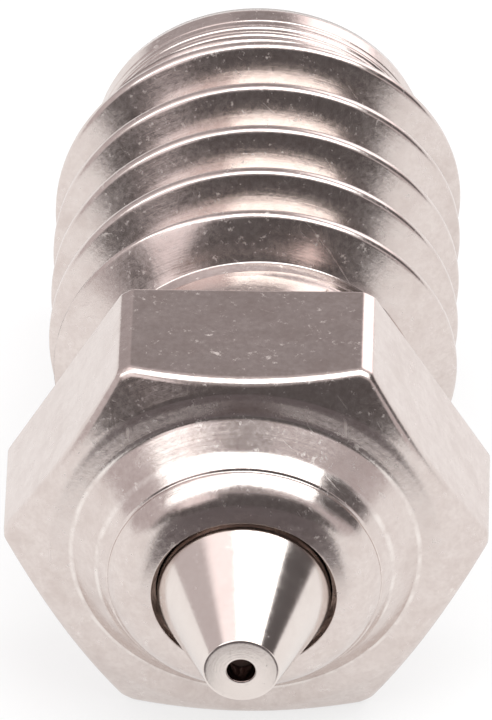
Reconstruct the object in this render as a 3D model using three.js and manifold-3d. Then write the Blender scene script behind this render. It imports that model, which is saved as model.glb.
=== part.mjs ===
// Small oil burner nozzle with an M6 x 1 screw-in body.
// Millimetres, +Z up. The nozzle's axis is the Y axis: the spray tip points to -Y and the
// oil inlet to +Y. The origin is on the axis, in the plane of the hexagon's rear shoulder.
// Stations along the axis are Y values, and one hexagon flat faces +Z.

import * as THREE from "three";
import { mergeVertices } from "three/addons/utils/BufferGeometryUtils.js";
import Module from "manifold-3d";

const wasm = await Module();
wasm.setup();

// ---- Driving dimensions -------------------------------------------------------------

const ROUND_STEPS = 36; // facets round the outside of the body
const BORE_STEPS = 24; // facets round the bore and the pieces inside it

// Stations of the body, from the inlet end to the tip.
const INLET_END = 7.55;
const THREAD_START = 6.75; // the lead-in ends and the thread's chamfer begins
const NECK_START = 1.25; // the thread's run-out ends in a plain neck
const SHOULDER = 0; // rear shoulder of the hexagon
const FACE = -2.2; // front face of the hexagon
const BOSS_TOP = FACE - 0.99;
const TIP = FACE - 2.66;

// Outside of the body.
const THREAD_RADIUS = 2.96;
const THREAD_PITCH = 1.0;
const THREAD_DEPTH = 0.61;
const CREST_WIDTH = 0.13;
const ROOT_WIDTH = 0.17; // flat left between two turns at the root, so the flanks meet at 60 degrees
const CREST_TOP = 1.92; // a crest crosses the +Z side at this station
const LEAD_IN_RADIUS = 2.43;
const LEAD_IN_ROUND = 0.18;
const NECK_RADIUS = 2.33;
const HEX_APOTHEM = 3.05;
const HEX_BAR_RADIUS = 3.47; // the round bar that the hexagon's corners keep
const FACE_RADIUS = 2.86; // flat part of the front face, inside the hexagon's chamfer
const HEX_CHAMFER = 0.35; // along the axis, at the bar's radius

// Outline of the boss, as radii and heights over the front face.
const RELIEF_RADIUS = 2.49; // the face turns up towards the boss at 45 degrees
const RELIEF_REAR_RADIUS = 2.12;
const BOSS_EDGE_RADIUS = 1.97; // a fine edge between the relief and the boss's steep side
const BOSS_EDGE_HEIGHT = 0.55;
const BOSS_SHOULDER_RADIUS = 1.78;
const BOSS_SHOULDER_HEIGHT = 0.86;
const BOSS_TOP_RADIUS = 1.62;

// Inside of the body.
const FIT_GAP = 0.02; // between a pressed or screwed piece and its seat
const STRAINER_BORE_RADIUS = 1.8;
const STRAINER_SEAT = 3.9;
const INLET_CHAMFER = 0.15;
const INNER_THREAD_RADIUS = 1.75;
const INNER_THREAD_DEPTH = 0.32;
const INNER_THREAD_PITCH = 0.6;
const INNER_CREST_WIDTH = 0.14;
const INNER_THREAD_END = 0;
const INNER_BORE_RADIUS = INNER_THREAD_RADIUS - INNER_THREAD_DEPTH;
const INSERT_SEAT = -1.9; // shoulder that the insert's flange is pressed against

// Orifice insert.
const INSERT_RADIUS = 1.24;
const INSERT_FLANGE_RADIUS = 1.4;
const INSERT_REAR = -0.9;
const GROOVE_WIDTH = 0.08; // open ring round the insert in the boss's top
const GROOVE_DEPTH = 0.14;
const TIP_FLAT_RADIUS = 0.54;
const ORIFICE_RADIUS = 0.2;
const ORIFICE_LENGTH = 0.35;
const SWIRL_RADIUS = 0.42;
const SWIRL_REAR = TIP + 0.8;
const SWIRL_LENGTH = 0.2;
const FEED_RADIUS = 1.08; // mouth of the insert's inner cone

// Distributor: its slots run round the cone on the skew and set the oil spinning.
const DISTRIBUTOR_REAR = 0.25;
const DISTRIBUTOR_GAP = 0.04;
const DISTRIBUTOR_SLOTS = 4;
const CONE_SLOT_WIDTH = 0.2;
const CONE_SLOT_SKEW = 0.35; // radians
const CONE_SLOT_RADIUS = 0.62; // floor of the slot at the middle of the cone
const SIDE_SLOT_WIDTH = 0.4;
const SIDE_SLOT_DEPTH = 0.3;

// Lock screw.
const LOCK_SCREW_FRONT = 0.3;
const LOCK_SCREW_REAR = 1.9;
const LOCK_SCREW_PASSAGE = 0.55; // radius
const DRIVER_SLOT_WIDTH = 0.45;
const DRIVER_SLOT_DEPTH = 0.45;
const FEED_SLOT_DEPTH = 0.25;

// Strainer.
const STRAINER_BASE_FRONT = 2.5;
const STRAINER_THREAD_REAR = 3.65;
const STRAINER_FLANGE_RADIUS = 1.74;
const STRAINER_FLANGE_FRONT = STRAINER_SEAT + FIT_GAP;
const STRAINER_FLANGE_REAR = STRAINER_FLANGE_FRONT + 0.35;
const CORE_SOCKET_DEPTH = 0.3;
const CORE_REAR = 6.5;
const CORE_RADIUS = 0.95;
const CORE_BORE_RADIUS = 0.6;
const WINDOW_ROWS = 2;
const WINDOWS_PER_ROW = 4;
const WINDOW_LENGTH = 0.72;
const WINDOW_WIDTH = 0.8;
const MESH_THICKNESS = 0.1;
const CAP_RADIUS = 1.3;
const CAP_REAR = 6.95;
const CAP_ROUND = 0.2;
const CAP_STUB_LENGTH = 0.4;
const DIMPLE_RADIUS = 0.4;
const DIMPLE_DEPTH = 0.12;

// How far a tool solid runs past the piece it cuts, or a joined solid into its partner.
const PAST = 1;
const BURIED = 0.08;

// ---- Solids -------------------------------------------------------------------------

function solid(geometry) {
  const bare = geometry.index ? geometry.toNonIndexed() : geometry.clone();
  bare.deleteAttribute("normal");
  bare.deleteAttribute("uv");
  const merged = mergeVertices(bare, 1e-5);
  const corners = merged.index.array;
  const points = merged.attributes.position;
  const triangles = [];
  let volume = 0;
  const [a, b, c] = [new THREE.Vector3(), new THREE.Vector3(), new THREE.Vector3()];
  for (let i = 0; i < corners.length; i += 3) {
    const [p, q, r] = [corners[i], corners[i + 1], corners[i + 2]];
    if (p === q || q === r || r === p) continue;
    triangles.push(p, q, r);
    a.fromBufferAttribute(points, p);
    b.fromBufferAttribute(points, q);
    c.fromBufferAttribute(points, r);
    volume += a.dot(b.cross(c));
  }
  if (volume < 0) triangles.reverse();
  const vertProperties = new Float32Array(points.array);
  const triVerts = new Uint32Array(triangles);
  return new wasm.Manifold(new wasm.Mesh({ numProp: 3, vertProperties, triVerts }));
}

function geometryOf(manifold) {
  const { vertProperties, triVerts } = manifold.getMesh();
  const geometry = new THREE.BufferGeometry();
  geometry.setAttribute("position", new THREE.BufferAttribute(vertProperties, 3));
  geometry.setIndex(new THREE.BufferAttribute(triVerts, 1));
  geometry.computeVertexNormals();
  return geometry;
}

// A turned solid: corners are [radius, y] pairs, and the outline closes on itself.
function turned(corners, steps) {
  const outline = corners.map(([radius, y]) => new THREE.Vector2(radius, y));
  outline.push(outline[0].clone());
  return solid(new THREE.LatheGeometry(outline, steps));
}

// Corners of a quarter round from one [radius, y] to another. The round leaves the first
// corner along the axis and meets the second one square to it.
function quarterRound([fromRadius, fromY], [toRadius, toY], steps) {
  const corners = [];
  for (let i = 0; i <= steps; i += 1) {
    const angle = (i / steps) * (Math.PI / 2);
    const radius = toRadius + (fromRadius - toRadius) * Math.cos(angle);
    const y = fromY + (toY - fromY) * Math.sin(angle);
    corners.push([radius, y]);
  }
  return corners;
}

// A right-hand helical ridge, as a straight prism of the ridge's section wound round the
// axis. The section has its root at rootRadius and its flat crest at crestRadius, and its
// crest passes the +Z side at the station crestY.
function helicalRidge({ rootRadius, crestRadius, rootWidth, crestWidth, pitch, from, to, crestY, steps }) {
  const section = new THREE.Shape([
    new THREE.Vector2(rootRadius, -rootWidth / 2),
    new THREE.Vector2(crestRadius, -crestWidth / 2),
    new THREE.Vector2(crestRadius, crestWidth / 2),
    new THREE.Vector2(rootRadius, rootWidth / 2),
  ]);
  const turns = (to - from) / pitch;
  const prism = new THREE.ExtrudeGeometry(section, {
    depth: turns,
    steps: Math.round(turns * steps),
    bevelEnabled: false,
  });
  const points = prism.attributes.position;
  for (let i = 0; i < points.count; i += 1) {
    const radius = points.getX(i);
    const y = from + points.getZ(i) * pitch;
    const angle = ((y - crestY) / pitch) * 2 * Math.PI;
    points.setXYZ(i, radius * Math.sin(angle), y + points.getY(i), radius * Math.cos(angle));
  }
  return solid(prism);
}

// A box of sizes along X, Y and Z. It is turned on the spot about Z, moved to its centre and
// then swung round the axis.
function box([width, length, height], [x, y, z], turnAboutY = 0, turnAboutZ = 0) {
  const geometry = new THREE.BoxGeometry(width, length, height);
  geometry.rotateZ(turnAboutZ);
  geometry.translate(x, y, z);
  geometry.rotateY(turnAboutY);
  return solid(geometry);
}

function ring(innerRadius, outerRadius, fromY, toY, steps = BORE_STEPS) {
  return turned([[innerRadius, fromY], [outerRadius, fromY], [outerRadius, toY], [innerRadius, toY]], steps);
}

function plug(radius, fromY, toY, steps = BORE_STEPS) {
  return turned([[0, fromY], [radius, fromY], [radius, toY], [0, toY]], steps);
}

// ---- Nozzle body --------------------------------------------------------------------

function outerThread() {
  const rootRadius = THREAD_RADIUS - THREAD_DEPTH;
  const insideRadius = NECK_RADIUS - 2 * BURIED;
  const ridge = helicalRidge({
    rootRadius: rootRadius - BURIED,
    crestRadius: THREAD_RADIUS,
    rootWidth: THREAD_PITCH - ROOT_WIDTH,
    crestWidth: CREST_WIDTH,
    pitch: THREAD_PITCH,
    from: NECK_START - THREAD_PITCH / 2,
    to: THREAD_START + THREAD_PITCH / 2,
    crestY: CREST_TOP,
    steps: ROUND_STEPS,
  });
  const chamfer = THREAD_RADIUS - NECK_RADIUS;
  const envelope = turned([
    [insideRadius, NECK_START],
    [NECK_RADIUS, NECK_START],
    [THREAD_RADIUS + FIT_GAP, NECK_START + chamfer],
    [THREAD_RADIUS + FIT_GAP, THREAD_START - chamfer],
    [LEAD_IN_RADIUS, THREAD_START],
    [insideRadius, THREAD_START],
  ], ROUND_STEPS);
  const core = ring(insideRadius, rootRadius, NECK_START, THREAD_START, ROUND_STEPS);
  return ridge.intersect(envelope).add(core);
}

function hexagon() {
  const cornerRadius = HEX_APOTHEM / Math.cos(Math.PI / 6);
  const outline = new THREE.Shape();
  for (let i = 0; i < 6; i += 1) {
    const angle = (i * Math.PI) / 3;
    const corner = [cornerRadius * Math.cos(angle), cornerRadius * Math.sin(angle)];
    if (i === 0) outline.moveTo(...corner);
    else outline.lineTo(...corner);
  }
  const prism = new THREE.ExtrudeGeometry(outline, { depth: SHOULDER - FACE, bevelEnabled: false });
  prism.rotateX(Math.PI / 2);
  const bar = turned([
    [0, FACE],
    [FACE_RADIUS, FACE],
    [HEX_BAR_RADIUS, FACE + HEX_CHAMFER],
    [HEX_BAR_RADIUS, SHOULDER],
    [0, SHOULDER],
  ], ROUND_STEPS * 2);
  return solid(prism).intersect(bar);
}

function boss() {
  const reliefHeight = RELIEF_RADIUS - RELIEF_REAR_RADIUS;
  return turned([
    [0, FACE + BURIED],
    [RELIEF_RADIUS, FACE + BURIED],
    [RELIEF_RADIUS, FACE],
    [RELIEF_REAR_RADIUS, FACE - reliefHeight],
    [BOSS_EDGE_RADIUS, FACE - BOSS_EDGE_HEIGHT],
    ...quarterRound([BOSS_SHOULDER_RADIUS, FACE - BOSS_SHOULDER_HEIGHT], [BOSS_TOP_RADIUS, BOSS_TOP], 3),
    [0, BOSS_TOP],
  ], ROUND_STEPS);
}

function shank() {
  const coreRadius = LEAD_IN_RADIUS - BURIED;
  const roundFront = [LEAD_IN_RADIUS, INLET_END - LEAD_IN_ROUND];
  const roundRear = [LEAD_IN_RADIUS - LEAD_IN_ROUND, INLET_END];
  return turned([
    [0, SHOULDER - BURIED],
    [NECK_RADIUS, SHOULDER - BURIED],
    [NECK_RADIUS, NECK_START + BURIED],
    [coreRadius, NECK_START + BURIED],
    [coreRadius, THREAD_START - BURIED],
    [LEAD_IN_RADIUS, THREAD_START - BURIED],
    ...quarterRound(roundFront, roundRear, 3),
    [0, INLET_END],
  ], ROUND_STEPS);
}

function bore() {
  const insertBore = INSERT_RADIUS + FIT_GAP;
  const grooveRadius = INSERT_RADIUS + GROOVE_WIDTH;
  return turned([
    [0, BOSS_TOP - PAST],
    [grooveRadius, BOSS_TOP - PAST],
    [grooveRadius, BOSS_TOP + GROOVE_DEPTH],
    [insertBore, BOSS_TOP + GROOVE_DEPTH],
    [insertBore, INSERT_SEAT],
    [INNER_BORE_RADIUS, INSERT_SEAT],
    [INNER_BORE_RADIUS, STRAINER_SEAT],
    [STRAINER_BORE_RADIUS, STRAINER_SEAT],
    [STRAINER_BORE_RADIUS, INLET_END - INLET_CHAMFER],
    [STRAINER_BORE_RADIUS + INLET_CHAMFER + PAST, INLET_END + PAST],
    [0, INLET_END + PAST],
  ], BORE_STEPS);
}

function innerThread() {
  return helicalRidge({
    rootRadius: INNER_BORE_RADIUS - BURIED,
    crestRadius: INNER_THREAD_RADIUS,
    rootWidth: INNER_THREAD_PITCH - ROOT_WIDTH / 2,
    crestWidth: INNER_CREST_WIDTH,
    pitch: INNER_THREAD_PITCH,
    from: INNER_THREAD_END,
    to: STRAINER_SEAT + INNER_THREAD_PITCH / 2,
    crestY: 0,
    steps: BORE_STEPS,
  });
}

function nozzleBody() {
  const outside = shank().add(outerThread()).add(hexagon()).add(boss());
  return outside.subtract(bore()).subtract(innerThread());
}

// ---- Orifice insert -----------------------------------------------------------------

function orificeInsert() {
  const flangeFront = INSERT_SEAT + FIT_GAP;
  return turned([
    [ORIFICE_RADIUS, TIP],
    [TIP_FLAT_RADIUS, TIP],
    [INSERT_RADIUS, BOSS_TOP],
    [INSERT_RADIUS, flangeFront],
    [INSERT_FLANGE_RADIUS, flangeFront],
    [INSERT_FLANGE_RADIUS, INSERT_REAR],
    [FEED_RADIUS, INSERT_REAR],
    [SWIRL_RADIUS, SWIRL_REAR],
    [SWIRL_RADIUS, SWIRL_REAR - SWIRL_LENGTH],
    [ORIFICE_RADIUS, TIP + ORIFICE_LENGTH],
  ], ROUND_STEPS);
}

// ---- Distributor --------------------------------------------------------------------

function distributor() {
  const noseFront = SWIRL_REAR + DISTRIBUTOR_GAP;
  const noseRear = INSERT_REAR + DISTRIBUTOR_GAP;
  const noseLength = noseRear - noseFront;
  const bodyRadius = INSERT_FLANGE_RADIUS - FIT_GAP;
  const coneSlotHeight = 0.4;
  const coneSlotSize = [CONE_SLOT_WIDTH, noseLength * 1.3, coneSlotHeight];
  const coneSlotCentre = [0, (noseFront + noseRear) / 2, CONE_SLOT_RADIUS + coneSlotHeight / 2];
  const sideSlotSize = [SIDE_SLOT_WIDTH, 2 * PAST, 2 * SIDE_SLOT_DEPTH];
  const sideSlotCentre = [0, noseRear + PAST / 2, bodyRadius];
  let piece = turned([
    [0, noseFront],
    [SWIRL_RADIUS - DISTRIBUTOR_GAP, noseFront],
    [FEED_RADIUS - DISTRIBUTOR_GAP, noseRear],
    [bodyRadius, noseRear],
    [bodyRadius, DISTRIBUTOR_REAR],
    [0, DISTRIBUTOR_REAR],
  ], BORE_STEPS);
  for (let i = 0; i < DISTRIBUTOR_SLOTS; i += 1) {
    const turn = (i / DISTRIBUTOR_SLOTS) * 2 * Math.PI;
    piece = piece.subtract(box(sideSlotSize, sideSlotCentre, turn));
    piece = piece.subtract(box(coneSlotSize, coneSlotCentre, turn, CONE_SLOT_SKEW));
  }
  return piece;
}

// ---- Lock screw and strainer --------------------------------------------------------

// A male thread on the same helix as the body's inner thread, smaller all round by a fit.
function innerScrew(fromY, toY) {
  const fit = 2 * FIT_GAP;
  const rootRadius = INNER_BORE_RADIUS - fit;
  const chamfer = 0.12;
  const ridge = helicalRidge({
    rootRadius: rootRadius - BURIED,
    crestRadius: INNER_THREAD_RADIUS - fit,
    rootWidth: INNER_THREAD_PITCH * 0.78,
    crestWidth: INNER_CREST_WIDTH / 2,
    pitch: INNER_THREAD_PITCH,
    from: fromY - INNER_THREAD_PITCH / 2,
    to: toY + INNER_THREAD_PITCH / 2,
    crestY: 0,
    steps: BORE_STEPS,
  });
  const envelope = turned([
    [0, fromY],
    [rootRadius, fromY],
    [INNER_THREAD_RADIUS, fromY + chamfer],
    [INNER_THREAD_RADIUS, toY - chamfer],
    [rootRadius, toY],
    [0, toY],
  ], BORE_STEPS);
  return plug(rootRadius, fromY, toY).add(ridge).intersect(envelope);
}

function lockScrew() {
  const across = 2 * (INNER_THREAD_RADIUS + PAST);
  const driverSlot = box([across, 2 * DRIVER_SLOT_DEPTH, DRIVER_SLOT_WIDTH], [0, LOCK_SCREW_REAR, 0]);
  const feedSlot = box([across, 2 * FEED_SLOT_DEPTH, DRIVER_SLOT_WIDTH], [0, LOCK_SCREW_FRONT, 0]);
  const passage = plug(LOCK_SCREW_PASSAGE, LOCK_SCREW_FRONT - PAST, LOCK_SCREW_REAR + PAST);
  return innerScrew(LOCK_SCREW_FRONT, LOCK_SCREW_REAR)
    .subtract(driverSlot)
    .subtract(feedSlot)
    .subtract(feedSlot.rotate([0, 90, 0]))
    .subtract(passage);
}

function strainerBase() {
  const insideRadius = CORE_BORE_RADIUS - BURIED;
  const neckRadius = INNER_BORE_RADIUS - 2 * FIT_GAP;
  const neck = ring(insideRadius, neckRadius, STRAINER_THREAD_REAR - BURIED, STRAINER_FLANGE_REAR);
  const flange = ring(insideRadius, STRAINER_FLANGE_RADIUS, STRAINER_FLANGE_FRONT, STRAINER_FLANGE_REAR);
  const socketFront = STRAINER_FLANGE_REAR - CORE_SOCKET_DEPTH;
  const socket = plug(CORE_RADIUS + FIT_GAP, socketFront, STRAINER_FLANGE_REAR + PAST);
  const passage = plug(CORE_BORE_RADIUS, STRAINER_BASE_FRONT - PAST, STRAINER_FLANGE_REAR + PAST);
  return innerScrew(STRAINER_BASE_FRONT, STRAINER_THREAD_REAR)
    .add(neck)
    .add(flange)
    .subtract(socket)
    .subtract(passage);
}

function strainerCore() {
  const front = STRAINER_FLANGE_REAR - CORE_SOCKET_DEPTH + FIT_GAP;
  const rowLength = (CORE_REAR - STRAINER_FLANGE_REAR) / WINDOW_ROWS;
  const windowSize = [WINDOW_WIDTH, WINDOW_LENGTH, PAST];
  let core = ring(CORE_BORE_RADIUS, CORE_RADIUS, front, CORE_REAR);
  for (let row = 0; row < WINDOW_ROWS; row += 1) {
    const y = STRAINER_FLANGE_REAR + rowLength * (row + 0.5);
    for (let i = 0; i < WINDOWS_PER_ROW; i += 1) {
      const turn = ((i + 0.5) / WINDOWS_PER_ROW) * 2 * Math.PI;
      core = core.subtract(box(windowSize, [0, y, CORE_RADIUS], turn));
    }
  }
  return core;
}

function strainerMesh() {
  const innerRadius = CORE_RADIUS + FIT_GAP;
  return ring(innerRadius, innerRadius + MESH_THICKNESS, STRAINER_FLANGE_REAR + FIT_GAP, CORE_REAR);
}

function strainerCap() {
  const front = CORE_REAR + FIT_GAP;
  const stubRadius = CORE_BORE_RADIUS - FIT_GAP;
  return turned([
    [0, front - CAP_STUB_LENGTH],
    [stubRadius, front - CAP_STUB_LENGTH],
    [stubRadius, front],
    [CAP_RADIUS, front],
    ...quarterRound([CAP_RADIUS, CAP_REAR - CAP_ROUND], [CAP_RADIUS - CAP_ROUND, CAP_REAR], 3),
    [DIMPLE_RADIUS, CAP_REAR],
    [DIMPLE_RADIUS - DIMPLE_DEPTH, CAP_REAR - DIMPLE_DEPTH],
    [0, CAP_REAR - DIMPLE_DEPTH],
  ], BORE_STEPS);
}

// ---- Assembly -----------------------------------------------------------------------

const platedSteel = { color: 0xb8aca4, roughness: 0.32, metalness: 1 };
const insertSteel = { color: 0xc4bab2, roughness: 0.22, metalness: 1 };
const stainless = { color: 0xb0aeac, roughness: 0.35, metalness: 1 };
const brass = { color: 0xb08d4a, roughness: 0.35, metalness: 1 };
const nylon = { color: 0xd9d4c4, roughness: 0.55, metalness: 0 };
const mesh = { color: 0x9a9690, roughness: 0.45, metalness: 1 };

const group = new THREE.Group();

function addPiece(name, manifold, look) {
  const piece = new THREE.Mesh(geometryOf(manifold), new THREE.MeshStandardMaterial(look));
  piece.name = name;
  group.add(piece);
}

addPiece("nozzle_body", nozzleBody(), platedSteel);
addPiece("orifice_insert", orificeInsert(), insertSteel);
addPiece("distributor", distributor(), stainless);
addPiece("lock_screw", lockScrew(), brass);
addPiece("strainer_base", strainerBase(), brass);
addPiece("strainer_core", strainerCore(), nylon);
addPiece("strainer_mesh", strainerMesh(), mesh);
addPiece("strainer_cap", strainerCap(), brass);

export default group;
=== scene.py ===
"""Looks of a small screw-in oil burner nozzle: metal surfaces, strainer, floor, light and camera.

The nozzle's axis is Y, with the spray tip to -Y and the oil inlet to +Y. Lengths in this
script are in millimetres and are turned into metres when a mesh, light or camera is made.
"""

import math

import bmesh
import bpy
import numpy as np
from mathutils import Matrix, Vector


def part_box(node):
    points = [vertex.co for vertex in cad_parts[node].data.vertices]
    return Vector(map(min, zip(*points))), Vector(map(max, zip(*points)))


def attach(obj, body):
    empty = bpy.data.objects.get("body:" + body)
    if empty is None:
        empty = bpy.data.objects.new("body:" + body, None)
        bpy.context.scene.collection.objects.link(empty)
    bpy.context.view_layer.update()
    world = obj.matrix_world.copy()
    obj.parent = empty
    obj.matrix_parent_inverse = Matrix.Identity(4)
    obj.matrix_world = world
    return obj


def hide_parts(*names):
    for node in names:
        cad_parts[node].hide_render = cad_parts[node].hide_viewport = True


MM = 0.001
TURN = 2 * math.pi

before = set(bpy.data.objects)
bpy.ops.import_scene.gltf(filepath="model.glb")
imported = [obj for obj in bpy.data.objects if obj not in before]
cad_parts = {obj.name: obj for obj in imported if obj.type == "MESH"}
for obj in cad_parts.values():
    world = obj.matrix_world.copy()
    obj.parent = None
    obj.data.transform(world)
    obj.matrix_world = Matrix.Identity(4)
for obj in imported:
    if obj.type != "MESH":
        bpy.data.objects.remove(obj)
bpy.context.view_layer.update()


def station(node, corner):
    """A node's box corner in millimetres: 0 is the lowest corner, 1 the highest."""
    return Vector(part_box(node)[corner]) / MM


# ---- Stations and radii of the body, from the frame where a box gives them -----------------

INLET_END = station("nozzle_body", 1).y
BOSS_TOP = station("nozzle_body", 0).y
HEX_APOTHEM = station("nozzle_body", 1).z
TIP = station("orifice_insert", 0).y
SHOULDER = 0.0
BOSS_HEIGHT = 0.99
FACE = BOSS_TOP + BOSS_HEIGHT

LEAD_IN_LENGTH = 0.8
THREAD_START = INLET_END - LEAD_IN_LENGTH
NECK_START = 1.25
THREAD_RADIUS = 2.96
THREAD_PITCH = 1.0
THREAD_ROOT_RADIUS = 2.35
CREST_WIDTH = 0.13
THREAD_ROOT_WIDTH = 0.17
CREST_TOP = 1.92
LEAD_IN_RADIUS = 2.43
LEAD_IN_ROUND = 0.16
LEAD_IN_LINES = (  # fine turned lines: distance from the thread's start, and depth
    (0.06, 0.02), (0.135, 0.01), (0.23, 0.022), (0.29, 0.008), (0.4, 0.012),
)
TURNED_LINE_HALF = 0.025  # half the width of such a line
NECK_RADIUS = 2.33
HEX_BAR_RADIUS = 3.47
FACE_RADIUS = 2.86
HEX_CHAMFER = 0.35
BOSS_OUTLINE = (  # height over the face, radius and rounding of each corner
    (0.935, 1.745, 0.26),  # the boss's soft shoulder
    (0.62, 1.95, 0.01),  # a fine turned step
    (0.58, 1.957, 0.012),
    (0.56, 1.99, 0.01),
    (0.37, 2.12, 0.06),  # the boss's foot
    (0.0, 2.49, 0.05),  # outer edge of the relief round the boss
)

STRAINER_BORE_RADIUS = 1.8
STRAINER_SEAT = 3.9
INLET_CHAMFER = 0.15
INNER_THREAD_RADIUS = 1.75
INNER_BORE_RADIUS = 1.43
INNER_THREAD_PITCH = 0.6
INNER_GROOVE_WIDTH = 0.14  # of the bore's thread, at its largest radius
INNER_LAND_WIDTH = 0.02  # and at the bore
FIT_GAP = 0.02

INSERT_SEAT = -1.9
INSERT_RADIUS = 1.24
INSERT_REAR = -0.9
INSERT_FLANGE_RADIUS = 1.4
GROOVE_RADIUS = 1.32
GROOVE_DEPTH = 0.14
TIP_FLAT_RADIUS = 0.54
ORIFICE_RADIUS = 0.2
ORIFICE_END = TIP + 0.35
SWIRL_RADIUS = 0.42
SWIRL_FRONT = TIP + 0.6
SWIRL_REAR = TIP + 0.8
FEED_RADIUS = 1.08

CAP_FRONT = STRAINER_SEAT + 2.62
CAP_REAR = station("strainer_cap", 1).y
CAP_RADIUS = 1.3
CAP_STUB_END = station("strainer_cap", 0).y
CAP_STUB_RADIUS = 0.58
DIMPLE_RADIUS = 0.4
DIMPLE_FLOOR_RADIUS = 0.28
DIMPLE_DEPTH = 0.12

BASE_FRONT = STRAINER_SEAT - 1.4
BASE_THREAD_REAR = STRAINER_SEAT - 0.25
BASE_THREAD_GAP = 0.04
BASE_CREST_WIDTH = 0.07
BASE_ROOT_WIDTH = 0.13
BASE_BORE_RADIUS = 0.6
FLANGE_FRONT = STRAINER_SEAT + FIT_GAP
FLANGE_REAR = STRAINER_SEAT + 0.37
FLANGE_RADIUS = 1.74
SOCKET_RADIUS = 0.97
SOCKET_FLOOR = FLANGE_REAR - 0.3

FINE_ROUND = 0.02  # rounding of a plain machined edge


# ---- Mesh helpers ----------------------------------------------------------------------------

SUPPORT = 0.02  # a row this close to each rounding keeps the flat beside it flat


def unit(vectors):
    return vectors / np.maximum(np.linalg.norm(vectors, axis=0), 1e-12)


def outline_rows(corners, columns, span=0.15, arc_steps=4):
    """Rows of points along an outline with rounded corners, as (y, radius, edge) arrays.

    A corner is (y, radius, round): y and radius are one number or one per column, and round
    is how far from the corner its rounding begins. edge is 1 on an outward corner, else 0.
    """
    places = [
        np.array([np.broadcast_to(y, columns), np.broadcast_to(radius, columns)], float)
        for y, radius, _ in corners
    ]
    rounds = [corner[2] for corner in corners]
    rows = []
    for i, here in enumerate(places):
        leave = here
        if rounds[i] > 0:
            back, ahead = unit(places[i - 1] - here), unit(places[i + 1] - here)
            outward = np.mean(back[0] * ahead[1] - back[1] * ahead[0]) < 0
            enter, leave = here + back * rounds[i], here + ahead * rounds[i]
            for u in np.linspace(0, 1, arc_steps + 1):
                point = (1 - u) ** 2 * enter + 2 * u * (1 - u) * here + u**2 * leave
                rows.append((point[0], point[1], float(outward) * math.sin(math.pi * u)))
        else:
            rows.append((here[0], here[1], 0.0))
        if i + 1 == len(places):
            break
        there = places[i + 1]
        arrive = there + unit(here - there) * rounds[i + 1]
        length = np.linalg.norm(arrive - leave, axis=0)
        steps = max(1, math.ceil(float(length.max()) / span))
        inset = np.minimum(0.25, SUPPORT / np.maximum(length, 1e-9))
        for u in np.linspace(0, 1, steps + 1):
            at = inset + (1 - 2 * inset) * u
            point = leave + (arrive - leave) * at
            rows.append((point[0], point[1], 0.0))
    return rows


def soft_min(a, b, width):
    return 0.5 * (a + b - np.sqrt((a - b) ** 2 + width**2))


def soft_max(a, b, width):
    return 0.5 * (a + b + np.sqrt((a - b) ** 2 + width**2))


def thread_section(pitch, crest_width, root_width, root_radius, crest_radius, rounding, flank_steps):
    """One pitch of a thread's section, from root to root, as (offset, radius, edge) rows."""
    half = pitch / 2
    corners = [
        (-half, root_radius, 0),
        (-half + root_width / 2, root_radius, 0),
        (-crest_width / 2, crest_radius, rounding),
        (crest_width / 2, crest_radius, rounding),
        (half - root_width / 2, root_radius, 0),
        (half, root_radius, 0),
    ]
    flank = math.hypot((pitch - crest_width - root_width) / 2, crest_radius - root_radius)
    rows = outline_rows(corners, 1, span=flank / flank_steps, arc_steps=3)
    return [(float(y[0]), float(radius[0]), edge) for y, radius, edge in rows[:-1]]


WAVE_RATES = (5.3, 11.9, 23.7, 41.3)  # per radian along the helix
WAVE_DEPTH = 0.009
NICK_DEPTH = 0.035
NICK_WIDTH = 0.035  # radians


def crest_wear(along, seed=5, nicks=16):
    """How far a worn crest lies inside its true radius, by angle along the helix."""
    waves = sum(np.sin(rate * along + rate) / len(WAVE_RATES) for rate in WAVE_RATES)
    depth = WAVE_DEPTH * (1 + waves)
    random = np.random.RandomState(seed)
    for place, size in zip(random.uniform(2, 32, nicks), random.uniform(0.4, 1.0, nicks)):
        depth = depth + NICK_DEPTH * size * np.exp(-(((along - place) / (NICK_WIDTH * size)) ** 2))
    return depth


RUN_OUT = 0.7  # the fillet at a thread's root shrinks to nothing over this length at each end


def helical_rows(
    section, pitch, crest_y, y_from, y_to, angles, lowest, highest, fillet=0.02, wear=0.0
):
    """Rows that follow a right-hand thread. lowest and highest give the radii that the thread
    keeps between at each station. They all but meet at both ends, where the rows end in a circle.
    wear is how much of crest_wear the crest gets."""
    rows = []
    first = math.floor((y_from - crest_y) / pitch) - 1
    last = math.ceil((y_to - crest_y) / pitch) + 1
    for turn in range(first, last + 1):
        for offset, radius, edge in section:
            y = crest_y + turn * pitch + offset + pitch * angles / TURN
            if y.max() < y_from or y.min() > y_to:
                continue
            inside = (y > y_from) & (y < y_to)
            y = np.clip(y, y_from, y_to)
            rounding = fillet * np.clip(np.minimum(y - y_from, y_to - y) / RUN_OUT, 0, 1)
            true = radius - wear * edge * crest_wear(angles + TURN * turn)
            worn = soft_max(soft_min(true, highest(y), 0.03), lowest(y), rounding + 1e-4)
            kept = np.where(inside, worn, highest(y))
            near_crest = np.clip(1 - (radius - kept) / 0.05, 0, 1)
            rows.append((y, kept, edge * near_crest))
    return rows


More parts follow.
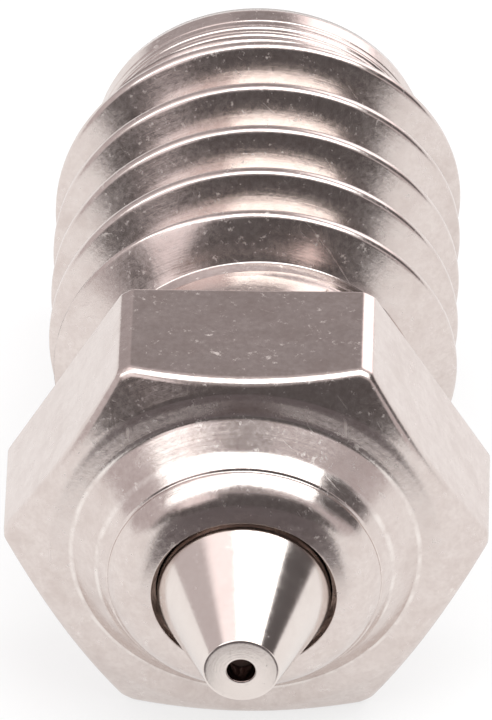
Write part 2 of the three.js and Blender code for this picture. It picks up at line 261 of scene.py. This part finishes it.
def wound_mesh(name, rows, angles, closed=True):
    """A mesh of rows wound round the Y axis. Angles run from 0 to a full turn, both included,
    so a helical row's end meets the next row's start, and meeting points are joined."""
    y = np.array([np.broadcast_to(row[0], angles.shape) for row in rows])
    radius = np.array([np.broadcast_to(row[1], angles.shape) for row in rows])
    edge = np.array([np.broadcast_to(row[2], angles.shape) for row in rows])
    points = np.stack([radius * np.sin(angles), y, radius * np.cos(angles)], -1) * MM
    count, columns = y.shape
    index = np.arange(count * columns).reshape(count, columns)
    if closed:
        index = np.vstack([index, index[:1]])
    quads = np.stack([index[:-1, :-1], index[:-1, 1:], index[1:, 1:], index[1:, :-1]], -1)
    mesh = bpy.data.meshes.new(name)
    mesh.from_pydata(points.reshape(-1, 3).tolist(), [], quads.reshape(-1, 4).tolist())
    wear = mesh.attributes.new("edge_wear", "FLOAT", "POINT")
    wear.data.foreach_set("value", edge.reshape(-1).astype(np.float32))
    return tidy_mesh(mesh)


def tidy_mesh(mesh):
    shape = bmesh.new()
    shape.from_mesh(mesh)
    bmesh.ops.remove_doubles(shape, verts=shape.verts, dist=1e-4 * MM)
    bmesh.ops.recalc_face_normals(shape, faces=shape.faces)
    for face in shape.faces:
        face.smooth = True
    shape.to_mesh(mesh)
    shape.free()
    return mesh


def add_piece(mesh, material, slot, *nodes):
    piece = bpy.data.objects.new(mesh.name, mesh)
    bpy.context.scene.collection.objects.link(piece)
    mesh.materials.clear()
    mesh.materials.append(material)
    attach(piece, "root")
    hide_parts(*nodes)
    return piece


# ---- Materials -------------------------------------------------------------------------------


class Surface:
    """A Principled material and a short way to add nodes to it, in millimetre coordinates."""

    def __init__(self, name):
        self.material = bpy.data.materials.new(name)
        self.material.use_nodes = True
        self.tree = self.material.node_tree
        self.shader = self.tree.nodes["Principled BSDF"]
        place = self.add("ShaderNodeTexCoord").outputs["Object"]
        self.place = self.vector("SCALE", place, scale=1 / MM)
        split = self.add("ShaderNodeSeparateXYZ", Vector=self.place)
        self.x, self.y, self.z = split.outputs
        across = self.add("ShaderNodeCombineXYZ", X=self.x, Y=self.z)
        self.radius = self.vector("LENGTH", across.outputs[0])

    def add(self, kind, settings=None, **inputs):
        node = self.tree.nodes.new(kind)
        for key, value in (settings or {}).items():
            setattr(node, key, value)
        for key, value in inputs.items():
            self.connect(node.inputs[key.replace("_", " ")], value)
        return node

    def connect(self, socket, value):
        if isinstance(value, bpy.types.NodeSocket):
            self.tree.links.new(value, socket)
        else:
            socket.default_value = value

    def vector(self, operation, a, scale=None):
        node = self.add("ShaderNodeVectorMath", {"operation": operation})
        self.connect(node.inputs[0], a)
        if scale is not None:
            node.inputs["Scale"].default_value = scale
        return node.outputs["Value" if operation == "LENGTH" else "Vector"]

    def math(self, operation, *values):
        node = self.add("ShaderNodeMath", {"operation": operation})
        for socket, value in zip(node.inputs, values):
            self.connect(socket, value)
        return node.outputs[0]

    def ramp(self, value, low, high, to_low=0.0, to_high=1.0):
        node = self.add("ShaderNodeMapRange", {"interpolation_type": "SMOOTHSTEP"}, Value=value)
        for key, number in zip(("From Min", "From Max", "To Min", "To Max"), (low, high, to_low, to_high)):
            self.connect(node.inputs[key], number)
        return node.outputs["Result"]

    def noise(self, place, scale, detail=2.0, roughness=0.5):
        inputs = {"Vector": place, "Scale": scale, "Detail": detail, "Roughness": roughness}
        return self.add("ShaderNodeTexNoise", **inputs).outputs["Fac"]

    def stretched(self, x, y, z):
        return self.add("ShaderNodeCombineXYZ", X=x, Y=y, Z=z).outputs[0]

    def mix(self, share, a, b):
        node = self.add("ShaderNodeMix", {"data_type": "RGBA"})
        self.connect(node.inputs[0], share)
        self.connect(node.inputs[6], a)
        self.connect(node.inputs[7], b)
        return node.outputs[2]

    def attribute(self, name):
        return self.add("ShaderNodeAttribute", {"attribute_name": name}).outputs["Fac"]

    def bump(self, height, distance, below=None):
        node = self.add("ShaderNodeBump", Height=height, Distance=distance * MM)
        if below is not None:
            self.connect(node.inputs["Normal"], below)
        return node.outputs["Normal"]


# Dark colour for the walls of the orifice: painted shade in the hole.
HOLE_PAINTED_SHADE = (0.26, 0.18, 0.165, 1)


def turned_metal(
    name, colour, worn_colour, stain_colour, roughness, ring_scale, ring_height, mottle=1.0, shaded_hole_radius=0.0
):
    """Turned metal: fine rings round the axis, mottled plating, specks, faint slanting scratches
    and brighter worn edges. ring_scale is rings per millimetre, ring_height is in millimetres,
    mottle is the strength of the mottling, and a hole up to the radius given last is coloured dark, a
    painted shade in the hole."""
    surface = Surface(name)
    rings_at = surface.stretched(surface.radius, surface.y, 0.0)
    rings = surface.noise(rings_at, ring_scale, 3.0, 0.6)
    broad_rings = surface.noise(rings_at, ring_scale / 5, 2.0)
    clouds = surface.noise(surface.place, 1.6, 5.0, 0.6)
    grain = surface.noise(surface.place, 14.0, 4.0, 0.6)
    specks = surface.ramp(surface.noise(surface.place, 7.0, 4.0, 0.72), 0.61, 0.74)
    blotches = surface.ramp(surface.noise(surface.place, 4.5, 3.0, 0.55), 0.36, 0.64)
    edge = surface.attribute("edge_wear")
    stain = surface.ramp(clouds, 0.42, 0.72, 0.0, 0.55 * mottle)
    plain, worn, stained = (*colour, 1), (*worn_colour, 1), (*stain_colour, 1)
    coloured = surface.mix(stain, plain, stained)
    blotched = surface.mix(surface.math("MULTIPLY", blotches, 0.2 * mottle), coloured, worn)
    dulled = surface.mix(surface.ramp(grain, 0.3, 0.62, 0.35 * mottle, 0.0), blotched, stained)
    flecked = surface.mix(surface.math("MULTIPLY", specks, 0.8 * mottle), dulled, worn)
    rubbing = surface.ramp(surface.noise(surface.place, 3.5, 3.0), 0.35, 0.65, 0.15, 0.9)
    rubbed = surface.mix(surface.math("MULTIPLY", edge, rubbing), flecked, worn)
    # Painted shade: the walls of the hole get the dark colour.
    hole_shade_share = surface.ramp(surface.radius, shaded_hole_radius, shaded_hole_radius + 0.02, 1.0, 0.0)
    hole_shaded = surface.mix(hole_shade_share, rubbed, HOLE_PAINTED_SHADE) if shaded_hole_radius > 0 else rubbed
    surface.connect(surface.shader.inputs["Base Color"], hole_shaded)
    surface.shader.inputs["Metallic"].default_value = 1.0
    grain_swing = surface.math("SUBTRACT", grain, 0.5)
    ring_swing = surface.math("SUBTRACT", broad_rings, 0.5)
    uneven = surface.math("MULTIPLY_ADD", grain_swing, 0.22 * mottle, roughness)
    ringed = surface.math("MULTIPLY_ADD", ring_swing, 0.12, uneven)
    slanted = surface.math("MULTIPLY_ADD", surface.x, 11.0, surface.math("MULTIPLY", surface.y, 26.0))
    scratch_at = surface.stretched(surface.math("MULTIPLY", surface.x, 2.0), slanted, surface.z)
    scratches = surface.ramp(surface.noise(scratch_at, 1.0, 2.0), 0.69, 0.75)
    marks = surface.math("MAXIMUM", specks, surface.math("MULTIPLY", scratches, 0.35))
    marked = surface.math("MULTIPLY_ADD", marks, 0.25 * mottle, ringed)
    surface.connect(surface.shader.inputs["Roughness"], marked)
    pitted = surface.bump(surface.math("MULTIPLY_ADD", marks, -0.5, grain), 0.0012 * mottle)
    surface.connect(surface.shader.inputs["Normal"], surface.bump(rings, ring_height, pitted))
    return surface.material


NICKEL = (0.68, 0.602, 0.57)
NICKEL_WORN = (0.84, 0.78, 0.74)
NICKEL_STAIN = (0.58, 0.495, 0.46)

plated_body = turned_metal(
    "plated body", NICKEL, NICKEL_WORN, NICKEL_STAIN, roughness=0.2, ring_scale=16.0, ring_height=0.0011
)
insert_steel = turned_metal(
    "insert steel", (0.75, 0.68, 0.64), NICKEL_WORN, (0.66, 0.58, 0.54),
    roughness=0.16, ring_scale=22.0, ring_height=0.0006, mottle=0.5, shaded_hole_radius=ORIFICE_RADIUS,
)
stainless = turned_metal(
    "stainless", (0.66, 0.64, 0.62), (0.8, 0.79, 0.77), (0.55, 0.53, 0.51),
    roughness=0.3, ring_scale=18.0, ring_height=0.001,
)
brass = turned_metal(
    "brass", (0.74, 0.52, 0.22), (0.88, 0.7, 0.4), (0.55, 0.36, 0.14),
    roughness=0.28, ring_scale=16.0, ring_height=0.0012,
)
wire_metal = turned_metal(
    "strainer wire", (0.62, 0.59, 0.56), (0.8, 0.78, 0.75), (0.42, 0.38, 0.34),
    roughness=0.32, ring_scale=10.0, ring_height=0.0006,
)


def moulded_nylon():
    surface = Surface("moulded nylon")
    clouds = surface.noise(surface.place, 1.2, 3.0)
    grain = surface.noise(surface.place, 30.0, 3.0)
    tinted = surface.mix(surface.ramp(clouds, 0.35, 0.7), (0.72, 0.69, 0.6, 1), (0.62, 0.57, 0.46, 1))
    surface.connect(surface.shader.inputs["Base Color"], tinted)
    surface.connect(surface.shader.inputs["Roughness"], surface.ramp(grain, 0.3, 0.7, 0.42, 0.6))
    surface.connect(surface.shader.inputs["Normal"], surface.bump(grain, 0.004))
    return surface.material


nylon = moulded_nylon()


# ---- Nozzle body -----------------------------------------------------------------------------


def body_angles():
    """Columns once round the body, closer together at the hexagon's corners."""
    flat, corner = 2.7, 0.5  # degrees between columns
    sector = np.concatenate([np.arange(0, 27, flat), np.arange(27, 33, corner), np.arange(33, 60, flat)])
    return np.radians(np.append([sector + 60 * side for side in range(6)], 360.0))


def hexagon_radius(angles):
    """Radius of the hexagon's outside: flats that the round bar trims at the corners."""
    from_flat = np.abs((angles + TURN / 12) % (TURN / 6) - TURN / 12)
    return soft_min(HEX_APOTHEM / np.cos(from_flat), HEX_BAR_RADIUS, 0.012)


def between(y, *pairs):
    return np.interp(y, [pair[0] for pair in pairs], [pair[1] for pair in pairs])


HAIR = 0.01  # a thread's lowest radius stays this far inside its highest one


def outer_thread_rows(angles):
    cone = THREAD_RADIUS - NECK_RADIUS
    clear = THREAD_RADIUS + 0.05
    root = THREAD_ROOT_RADIUS - HAIR
    ramp = 0.15  # length over which the thread's root comes up to the neck and the lead-in
    section = thread_section(
        THREAD_PITCH, CREST_WIDTH, THREAD_ROOT_WIDTH, THREAD_ROOT_RADIUS, THREAD_RADIUS,
        rounding=0.05, flank_steps=4,
    )

    def highest(y):
        return between(
            y, (NECK_START, NECK_RADIUS), (NECK_START + ramp, NECK_RADIUS + 0.02),
            (NECK_START + cone, clear), (THREAD_START - cone, clear), (THREAD_START, LEAD_IN_RADIUS),
        )

    def lowest(y):
        return between(
            y, (NECK_START, NECK_RADIUS - HAIR), (NECK_START + ramp, root),
            (THREAD_START - ramp, root), (THREAD_START, LEAD_IN_RADIUS - HAIR),
        )

    return helical_rows(
        section, THREAD_PITCH, CREST_TOP, NECK_START, THREAD_START, angles, lowest, highest,
        fillet=0.12, wear=1.0,
    )


def inner_thread_rows(angles):
    section = thread_section(
        INNER_THREAD_PITCH, INNER_GROOVE_WIDTH, INNER_LAND_WIDTH, INNER_BORE_RADIUS,
        INNER_THREAD_RADIUS, rounding=0.0, flank_steps=2,
    )

    def highest(y):
        return between(
            y, (SHOULDER, INNER_BORE_RADIUS), (SHOULDER + 0.3, INNER_THREAD_RADIUS + 0.03),
            (STRAINER_SEAT, INNER_THREAD_RADIUS),
        )

    def lowest(y):
        return between(
            y, (SHOULDER, INNER_BORE_RADIUS - HAIR), (STRAINER_SEAT - 0.2, INNER_BORE_RADIUS - HAIR),
            (STRAINER_SEAT, INNER_THREAD_RADIUS - HAIR),
        )

    return helical_rows(
        section, INNER_THREAD_PITCH, 0.0, SHOULDER, STRAINER_SEAT, angles, lowest, highest
    )


def nozzle_body():
    angles = body_angles()
    columns = len(angles)
    hexagon = hexagon_radius(angles)
    chamfer_slope = HEX_CHAMFER / (HEX_BAR_RADIUS - FACE_RADIUS)
    chamfer_end = FACE + (hexagon - FACE_RADIUS) * chamfer_slope
    groove_floor = BOSS_TOP + GROOVE_DEPTH
    front = [
        (groove_floor, GROOVE_RADIUS, 0),
        (BOSS_TOP + 0.005, GROOVE_RADIUS, FINE_ROUND),
        *((FACE - height, radius, rounding) for height, radius, rounding in BOSS_OUTLINE),
        (FACE, FACE_RADIUS, 0.08),
        (chamfer_end, hexagon, 0.11),
        (SHOULDER, hexagon, 0.04),
        (SHOULDER, NECK_RADIUS, 0.1),
        (NECK_START, NECK_RADIUS, 0),
    ]
    turned_lines = []
    for line, depth in LEAD_IN_LINES:
        turned_lines += [
            (THREAD_START + line - TURNED_LINE_HALF, LEAD_IN_RADIUS, 0.01),
            (THREAD_START + line, LEAD_IN_RADIUS - depth, 0.01),
            (THREAD_START + line + TURNED_LINE_HALF, LEAD_IN_RADIUS, 0.01),
        ]
    inlet = [
        (THREAD_START, LEAD_IN_RADIUS, 0),
        *turned_lines,
        (INLET_END, LEAD_IN_RADIUS, LEAD_IN_ROUND),
        (INLET_END, STRAINER_BORE_RADIUS + INLET_CHAMFER, FINE_ROUND),
        (INLET_END - INLET_CHAMFER, STRAINER_BORE_RADIUS, FINE_ROUND),
        (STRAINER_SEAT, STRAINER_BORE_RADIUS, 0),
        (STRAINER_SEAT, INNER_THREAD_RADIUS, 0),
    ]
    bore = [
        (SHOULDER, INNER_BORE_RADIUS, 0),
        (INSERT_SEAT, INNER_BORE_RADIUS, 0),
        (INSERT_SEAT, INSERT_RADIUS + FIT_GAP, 0),
        (groove_floor, INSERT_RADIUS + FIT_GAP, 0),
    ]
    rows = outline_rows(front, columns)
    rows += outer_thread_rows(angles)
    rows += outline_rows(inlet, columns, span=0.4, arc_steps=2)
    rows += inner_thread_rows(angles)[::-1]
    rows += outline_rows(bore, columns, span=0.8)
    return wound_mesh("nozzle_body_surface", rows, angles)


add_piece(nozzle_body(), plated_body, "plated_body", "nozzle_body")


# ---- Orifice insert --------------------------------------------------------------------------

FINE_TURN = np.linspace(0, TURN, 217)


def orifice_insert():
    outline = [
        (ORIFICE_END, ORIFICE_RADIUS, 0),
        (TIP, ORIFICE_RADIUS, FINE_ROUND),
        (TIP, TIP_FLAT_RADIUS, 0.022),
        (BOSS_TOP, INSERT_RADIUS, 0.04),
        (INSERT_SEAT + FIT_GAP, INSERT_RADIUS, 0),
        (INSERT_SEAT + FIT_GAP, INSERT_FLANGE_RADIUS, FINE_ROUND),
        (INSERT_REAR, INSERT_FLANGE_RADIUS, FINE_ROUND),
        (INSERT_REAR, FEED_RADIUS, FINE_ROUND),
        (SWIRL_REAR, SWIRL_RADIUS, 0),
        (SWIRL_FRONT, SWIRL_RADIUS, 0),
        (ORIFICE_END, ORIFICE_RADIUS, 0),
    ]
    return wound_mesh("orifice_insert_surface", outline_rows(outline, len(FINE_TURN)), FINE_TURN)


add_piece(orifice_insert(), insert_steel, "insert_steel", "orifice_insert")


# ---- Strainer --------------------------------------------------------------------------------


def strainer_cap():
    outline = [
        (CAP_STUB_END, 0.0, 0),
        (CAP_STUB_END, CAP_STUB_RADIUS, 0.03),
        (CAP_FRONT, CAP_STUB_RADIUS, 0),
        (CAP_FRONT, CAP_RADIUS, 0.03),
        (CAP_REAR, CAP_RADIUS, 0.18),
        (CAP_REAR, DIMPLE_RADIUS, 0.03),
        (CAP_REAR - DIMPLE_DEPTH, DIMPLE_FLOOR_RADIUS, 0.04),
        (CAP_REAR - DIMPLE_DEPTH, 0.0, 0),
    ]
    rows = outline_rows(outline, len(FINE_TURN))
    return wound_mesh("strainer_cap_surface", rows, FINE_TURN, closed=False)


add_piece(strainer_cap(), brass, "brass", "strainer_cap")


def strainer_base():
    root = INNER_BORE_RADIUS - BASE_THREAD_GAP
    crest = INNER_THREAD_RADIUS - BASE_THREAD_GAP
    ramp = 0.12  # length over which the crest rises at each end
    section = thread_section(
        INNER_THREAD_PITCH, BASE_CREST_WIDTH, BASE_ROOT_WIDTH, root, crest,
        rounding=0.0, flank_steps=2,
    )

    def highest(y):
        return between(
            y, (BASE_FRONT, root), (BASE_FRONT + ramp, crest),
            (BASE_THREAD_REAR - ramp, crest), (BASE_THREAD_REAR, root),
        )

    def lowest(y):
        return np.full_like(y, root - HAIR)

    thread = helical_rows(
        section, INNER_THREAD_PITCH, 0.0, BASE_FRONT, BASE_THREAD_REAR, FINE_TURN, lowest, highest
    )
    outline = [
        (BASE_THREAD_REAR, root, 0),
        (FLANGE_FRONT, root, 0),
        (FLANGE_FRONT, FLANGE_RADIUS, 0.03),
        (FLANGE_REAR, FLANGE_RADIUS, 0.04),
        (FLANGE_REAR, SOCKET_RADIUS, FINE_ROUND),
        (SOCKET_FLOOR, SOCKET_RADIUS, 0),
        (SOCKET_FLOOR, BASE_BORE_RADIUS, FINE_ROUND),
        (BASE_FRONT, BASE_BORE_RADIUS, FINE_ROUND),
        (BASE_FRONT, root, 0),
    ]
    rows = outline_rows(outline, len(FINE_TURN))
    return wound_mesh("strainer_base_surface", rows + thread, FINE_TURN)


add_piece(strainer_base(), brass, "brass", "strainer_base")


def wires(name, lines, radius, sides=6):
    """Round wires along lines of points near the Y axis. A line whose ends meet is a ring."""
    points, faces = [], []
    for line in lines:
        closed = np.allclose(line[0], line[-1])
        line = line[:-1] if closed else line
        ahead = np.roll(line, -1, 0) - np.roll(line, 1, 0)
        if not closed:
            ahead[0], ahead[-1] = line[1] - line[0], line[-1] - line[-2]
        ahead /= np.linalg.norm(ahead, axis=1)[:, None]
        outward = line * (1, 0, 1)
        outward -= ahead * np.sum(outward * ahead, axis=1)[:, None]
        outward /= np.linalg.norm(outward, axis=1)[:, None]
        aside = np.cross(ahead, outward)
        start = len(points)
        for turn in np.arange(sides) * TURN / sides:
            points.extend(line + radius * (outward * math.cos(turn) + aside * math.sin(turn)))
        count = len(line)
        for side in range(sides):
            here, there = start + side * count, start + (side + 1) % sides * count
            for i in range(count if closed else count - 1):
                after = (i + 1) % count
                faces.append((here + i, here + after, there + after, there + i))
        if not closed:
            faces.append([start + side * count for side in range(sides)])
            faces.append([start + side * count + count - 1 for side in range(sides)])
    mesh = bpy.data.meshes.new(name)
    mesh.from_pydata((np.array(points) * MM).tolist(), [], faces)
    return tidy_mesh(mesh)


def strainer_screen():
    """Plain weave rolled round the core: wires along the axis over and under wires round it."""
    margin = 0.03
    front = station("strainer_mesh", 0).y + margin
    rear = station("strainer_mesh", 1).y - margin
    outer = station("strainer_mesh", 1).z
    thickness = outer - station("strainer_core", 1).z - FIT_GAP
    wire = thickness / 4.2
    middle = outer - thickness / 2
    around, rings, steps = 48, 16, 4  # wires along and round the axis, points from wire to wire
    pitch = (rear - front) / (rings - 1)
    lines = []
    along = np.linspace(0, rings - 1, (rings - 1) * steps + 1)
    for i in range(around):
        angle = TURN * i / around
        radius = middle + wire * np.cos(math.pi * (along + i))
        x, z = radius * math.sin(angle), radius * math.cos(angle)
        lines.append(np.stack([x, front + pitch * along, z], -1))
    across = np.linspace(0, around, around * steps + 1)
    for ring in range(rings):
        angles = TURN * across / around
        radius = middle - wire * np.cos(math.pi * (across + ring))
        station_y = np.full_like(angles, front + pitch * ring)
        lines.append(np.stack([radius * np.sin(angles), station_y, radius * np.cos(angles)], -1))
    return wires("strainer_screen", lines, wire * 0.98)


add_piece(strainer_screen(), wire_metal, "wire_mesh", "strainer_mesh")

for node, material in (("distributor", stainless), ("lock_screw", brass), ("strainer_core", nylon)):
    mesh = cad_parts[node].data
    mesh.materials.clear()
    mesh.materials.append(material)


# ---- Floor, light and surroundings -------------------------------------------------------------


def plane(name, corners, height, material):
    mesh = bpy.data.meshes.new(name)
    mesh.from_pydata([(x * MM, y * MM, height * MM) for x, y in corners], [], [range(len(corners))])
    mesh.materials.append(material)
    made = bpy.data.objects.new(name, mesh)
    bpy.context.scene.collection.objects.link(made)
    return made


def paper(name, low, high, roughness, glow=0.0):
    surface = Surface(name)
    clouds = surface.noise(surface.place, 0.05, 3.0)
    surface.connect(surface.shader.inputs["Base Color"], surface.mix(clouds, (*low, 1), (*high, 1)))
    surface.shader.inputs["Roughness"].default_value = roughness
    surface.shader.inputs["Specular IOR Level"].default_value = 0.2
    surface.shader.inputs["Emission Color"].default_value = (1.0, 1.0, 1.0, 1)
    surface.shader.inputs["Emission Strength"].default_value = glow
    return surface.material


# The floor is a lit pale table, so the metal's lower side stays bright.
FLOOR_SIDE = 1600  # half its width
plane(
    "studio_floor",
    [
        (-FLOOR_SIDE, -FLOOR_SIDE), (FLOOR_SIDE, -FLOOR_SIDE),
        (FLOOR_SIDE, FLOOR_SIDE), (-FLOOR_SIDE, FLOOR_SIDE),
    ],
    -HEX_APOTHEM,
    paper("floor paper", (0.24,) * 3, (0.28,) * 3, 0.7, glow=0.71),
)

SHEET_EDGE, SHEET_NEAR_HALF, SHEET_FAR_HALF = -8.1, 2.6, 1156
NOTCH_HALF = 0.6
MIRRORED_SLOPE = 1.27  # forward for each step down, along the camera's view as the tip's flat mirrors it
TIP_MIRRORED = TIP - MIRRORED_SLOPE * HEX_APOTHEM  # where that view meets the floor
NOTCH_END = TIP_MIRRORED - 0.45

# A dark sheet on the floor in front of the nozzle, notched before the tip. It is seen only in
# the metal's reflections, where it paints a dark reflection on the nozzle's face.
painted_reflection_sheet = plane(
    "painted_reflection_sheet",
    [
        (-SHEET_NEAR_HALF, SHEET_EDGE), (-SHEET_FAR_HALF, -FLOOR_SIDE),
        (SHEET_FAR_HALF, -FLOOR_SIDE), (SHEET_NEAR_HALF, SHEET_EDGE),
        (NOTCH_HALF, SHEET_EDGE), (NOTCH_HALF, NOTCH_END),
        (-NOTCH_HALF, NOTCH_END), (-NOTCH_HALF, SHEET_EDGE),
    ],
    -HEX_APOTHEM + 0.02,
    paper("painted reflection dark", (0.088, 0.076, 0.08), (0.1, 0.087, 0.091), 0.8),
)
for ray in ("camera", "diffuse", "shadow"):
    setattr(painted_reflection_sheet, f"visible_{ray}", False)


LAMP_TINT = (0.94, 1.0, 1.0)


def softbox(name, towards, distance, width, length, radiance):
    """A rectangular light aimed at the nozzle from a direction, its length along the nozzle.
    radiance is its brightness, where plain white paper is 1."""
    way = Vector(towards).normalized()
    across = Vector((0, 1, 0)).cross(way).normalized()
    along = way.cross(across)
    lamp = bpy.data.lights.new(name, "AREA")
    lamp.shape = "RECTANGLE"
    lamp.size, lamp.size_y = width * MM, length * MM
    lamp.energy = radiance * math.pi * width * length * MM * MM
    lamp.color = LAMP_TINT
    lit = bpy.data.objects.new(name, lamp)
    aim = Matrix((across, along, way)).transposed().to_4x4()
    lit.matrix_world = Matrix.Translation(way * distance * MM) @ aim
    bpy.context.scene.collection.objects.link(lit)
    lit.visible_camera = False
    return lit


softbox("softbox_right", (0.33, -0.11, 0.935), distance=600, width=700, length=500, radiance=3.0)
softbox("softbox_left", (-0.53, -0.37, 0.76), distance=600, width=480, length=235, radiance=2.3)


STUDIO_TINT = (1.0, 0.91, 0.92, 1)
BASE_LEVEL = 0.66
PATCHES = (  # azimuth, elevation, inner and outer radius in degrees, and brightness
    (180, 38, 8, 20, 0.36),
    (-147, 16, 12, 30, 0.5),
    (147, 20, 10, 22, 2.2),
    (-100, 62, 10, 24, 1.4),
    (97, 19, 16, 25, 0.12),
    (76, 25, 8, 14, 0.12),
    (0, 50, 8, 18, 0.4),
    (-18, 10, 26, 36, 0.11),
    (18, 10, 26, 36, 0.11),
    (-34, 29, 8, 15, 1.3),
)


def surroundings():
    """Soft grey studio with darker and brighter patches, even and bright where the camera sees it.
    Azimuth 0 is in front of the tip and 90 is to the right. Later patches lie over earlier ones."""
    world = bpy.data.worlds.new("studio")
    bpy.context.scene.world = world
    world.use_nodes = True
    tree = world.node_tree
    tree.nodes.clear()
    place = tree.nodes.new("ShaderNodeTexCoord").outputs["Generated"]

    def blend(a, b, share):
        node = tree.nodes.new("ShaderNodeMix")
        node.data_type = "FLOAT"
        for socket, value in zip((node.inputs[0], node.inputs[2], node.inputs[3]), (share, a, b)):
            if isinstance(value, bpy.types.NodeSocket):
                tree.links.new(value, socket)
            else:
                socket.default_value = value
        return node.outputs[0]

    def patch(azimuth, elevation, inner, outer):
        """1 within inner degrees of a direction, falling to 0 at outer degrees."""
        a, e = math.radians(azimuth), math.radians(elevation)
        dot = tree.nodes.new("ShaderNodeVectorMath")
        dot.operation = "DOT_PRODUCT"
        tree.links.new(place, dot.inputs[0])
        dot.inputs[1].default_value = (
            math.sin(a) * math.cos(e), -math.cos(a) * math.cos(e), math.sin(e),
        )
        share = tree.nodes.new("ShaderNodeMapRange")
        share.interpolation_type = "SMOOTHSTEP"
        tree.links.new(dot.outputs["Value"], share.inputs["Value"])
        share.inputs["From Min"].default_value = math.cos(math.radians(outer))
        share.inputs["From Max"].default_value = math.cos(math.radians(inner))
        return share.outputs["Result"]

    level = BASE_LEVEL
    for azimuth, elevation, inner, outer, brightness in PATCHES:
        level = blend(level, brightness, patch(azimuth, elevation, inner, outer))
    seen = tree.nodes.new("ShaderNodeLightPath").outputs["Is Camera Ray"]
    level = blend(level, 1.0, seen)
    background = tree.nodes.new("ShaderNodeBackground")
    background.inputs["Color"].default_value = STUDIO_TINT
    tree.links.new(level, background.inputs["Strength"])
    output = tree.nodes.new("ShaderNodeOutputWorld")
    tree.links.new(background.outputs[0], output.inputs["Surface"])


surroundings()
bpy.context.scene.view_settings.view_transform = "Standard"


# ---- Camera ------------------------------------------------------------------------------------

CAMERA_DISTANCE = 250.0
CAMERA_AZIMUTH = math.radians(1.493)
CAMERA_ELEVATION = math.radians(38.378)
CAMERA_ROLL = math.radians(-0.257)
CAMERA_SIDE = 0.0089  # how far the view's middle lies to the right of the face's middle
CAMERA_RISE = 2.7525  # and above it, in the view's plane
LENS = 875.15


def add_camera():
    aim = Vector((0, FACE, 0))
    back = Vector((
        math.sin(CAMERA_AZIMUTH) * math.cos(CAMERA_ELEVATION),
        -math.cos(CAMERA_AZIMUTH) * math.cos(CAMERA_ELEVATION),
        math.sin(CAMERA_ELEVATION),
    ))
    right = Vector((0, 0, 1)).cross(back).normalized()
    up = back.cross(right)
    cos_roll, sin_roll = math.cos(CAMERA_ROLL), math.sin(CAMERA_ROLL)
    side = right * cos_roll + up * sin_roll
    rise = up * cos_roll - right * sin_roll
    camera = bpy.data.objects.new("camera", bpy.data.cameras.new("camera"))
    bpy.context.scene.collection.objects.link(camera)
    camera.data.sensor_width = 36
    camera.data.lens = LENS
    camera.data.clip_start, camera.data.clip_end = 0.01, 10
    place = aim + back * CAMERA_DISTANCE + side * CAMERA_SIDE + rise * CAMERA_RISE
    turn = Matrix((side, rise, back)).transposed().to_4x4()
    camera.matrix_world = Matrix.Translation(place * MM) @ turn
    bpy.context.scene.camera = camera


add_camera()
